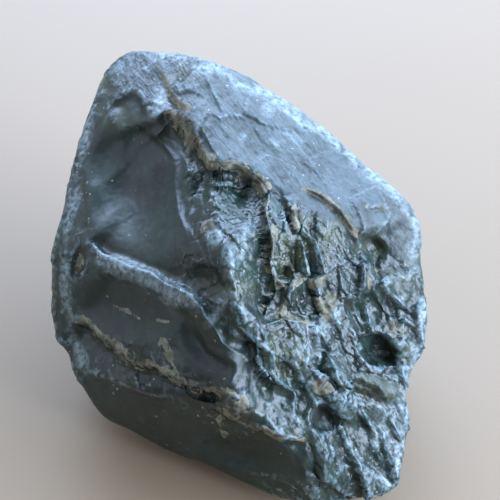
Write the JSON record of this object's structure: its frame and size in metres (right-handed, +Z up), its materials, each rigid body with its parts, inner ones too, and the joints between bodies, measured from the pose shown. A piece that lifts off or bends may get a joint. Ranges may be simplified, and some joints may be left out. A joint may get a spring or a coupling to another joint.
{
  "type": "rough green jasper stone",
  "caption": "Palm-size lump of rough green jasper with glassy scars, a splintered face and rusty veins, resting on a flat of its underside.",
  "frame": {"origin": "on the plane of the flat that the stone rests on, about under the middle of the lump", "axes": "+Z up, out of the resting flat; -Y towards the front seen in the picture; +X to that view's right"},
  "size_m": [0.0617, 0.068, 0.0464],
  "materials": {
    "green_jasper": "dark green-black chalcedony, waxy gloss on its scars, blue-grey satin on its top, beige and rusty rinds along its cracks"
  },
  "bodies": {
    "root": {"jasper_stone": "green_jasper"}
  },
  "joints": []
}
